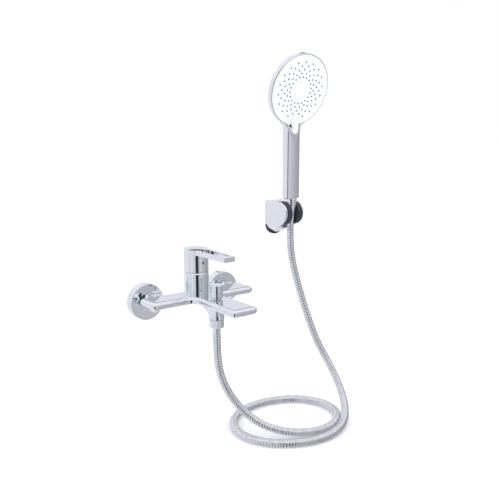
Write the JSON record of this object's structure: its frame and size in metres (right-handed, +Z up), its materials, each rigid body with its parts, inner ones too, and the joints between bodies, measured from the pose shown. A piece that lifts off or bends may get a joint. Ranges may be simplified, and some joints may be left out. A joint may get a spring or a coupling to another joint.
{
  "type": "wall mounted bath shower mixer",
  "caption": "Wall mounted bath mixer with a flat T-shaped body, loop lever, pull diverter, metal hose, hand shower and its wall bracket.",
  "frame": {"origin": "midway between the two wall inlets, on the wall's surface", "axes": "+Y into the wall, +Z up, +X to the right as seen from the front"},
  "size_m": [0.3675, 0.238, 0.6303],
  "materials": {
    "chrome": "polished chrome plating",
    "brass": "plain machined",
    "steel": "plain",
    "hose_steel": "bright double-lock spiral",
    "rubber": "matte",
    "nozzle_rubber": "matte silicone",
    "plastic": "moulded",
    "aerator_plastic": "moulded",
    "ceramic": "ground ceramic",
    "white_plastic": "glossy white",
    "dark_plastic": "satin dark grey",
    "red_mark": "glossy",
    "blue_mark": "glossy"
  },
  "bodies": {
    "fixed": {"aerator_housing": "chrome", "aerator_insert": "aerator_plastic", "aerator_seal": "rubber", "bracket_base": "dark_plastic", "bracket_pivot_bolt": "steel", "cartridge_base": "plastic", "cartridge_housing": "plastic", "cartridge_lock_nut": "brass", "cartridge_seals": "rubber", "ceramic_disc_fixed": "ceramic", "diverter_bush": "chrome", "diverter_stem_seal": "rubber", "faucet_body": "chrome", "hose_ferrule_lower": "chrome", "hose_lower": "hose_steel", "hose_nut": "chrome", "hose_washer_lower": "rubber", "inlet_strainers": "steel", "inlet_tail_left": "chrome", "inlet_tail_right": "chrome", "inlet_washers": "rubber", "outlet_check_valve": "plastic", "outlet_nipple": "chrome", "seam_ring": "dark_plastic", "union_nut_left": "chrome", "union_nut_right": "chrome", "wall_flange_left": "chrome", "wall_flange_right": "chrome", "wall_union_left": "chrome", "wall_union_right": "chrome"},
    "carrier": {"cartridge_carrier": "plastic", "pivot_pin": "brass"},
    "moving_disc": {"ceramic_disc_moving": "ceramic"},
    "lever": {"cartridge_spindle": "brass", "lever_handle": "chrome", "lever_set_screw": "steel", "indicator_plug": "chrome", "indicator_red": "red_mark", "indicator_blue": "blue_mark"},
    "diverter": {"diverter_knob": "chrome", "diverter_stem": "brass", "diverter_valve": "brass", "diverter_valve_seal": "rubber"},
    "holder": {"bracket_holder": "chrome", "bracket_cradle": "dark_plastic", "hose_ferrule_upper": "chrome", "hose_upper": "hose_steel"},
    "handset": {"hose_cone_nut": "chrome", "hose_washer_upper": "rubber", "handset_nipple": "plastic", "handset_flow_limiter": "plastic", "handset_shell": "chrome", "faceplate": "white_plastic", "nozzle_mat": "nozzle_rubber", "chamber_plate": "plastic", "chamber_seal": "rubber"},
    "button": {"spray_button": "white_plastic"}
  },
  "joints": [
    {"name": "lever_turn", "type": "hinge", "parent": "fixed", "child": "carrier", "pos_m": [0, -0.046, 0.036], "axis": [0, 0, 1], "range_deg": [-45, 45]},
    {"name": "lever_lift", "type": "hinge", "parent": "carrier", "child": "lever", "pos_m": [0, -0.046, 0.036], "axis": [-1, 0, 0], "range_deg": [0, 20]},
    {"name": "disc_slide", "type": "slide", "parent": "carrier", "child": "moving_disc", "axis": [0, -1, 0], "range_m": [0, 0.0025]},
    {"name": "diverter_pull", "type": "slide", "parent": "fixed", "child": "diverter", "axis": [0, 0, 1], "range_m": [0, 0.007]},
    {"name": "bracket_swivel", "type": "hinge", "parent": "fixed", "child": "holder", "pos_m": [0.2, 0, 0.103], "axis": [0, -1, 0], "range_deg": [-30, 30], "deforming": ["hose_upper"]},
    {"name": "handset_turn", "type": "hinge", "parent": "holder", "child": "handset", "pos_m": [0.2, -0.048, 0.13], "axis": [0, 0, 1], "range_deg": [-35, 35]},
    {"name": "spray_button_push", "type": "slide", "parent": "handset", "child": "button", "axis": [0, 1, 0], "range_m": [0, 0.001], "stiffness_N_per_m": 300}
  ],
  "couplings": [
    {"joint": "disc_slide", "follows": "lever_lift", "m_per_rad": 0.007}
  ]
}
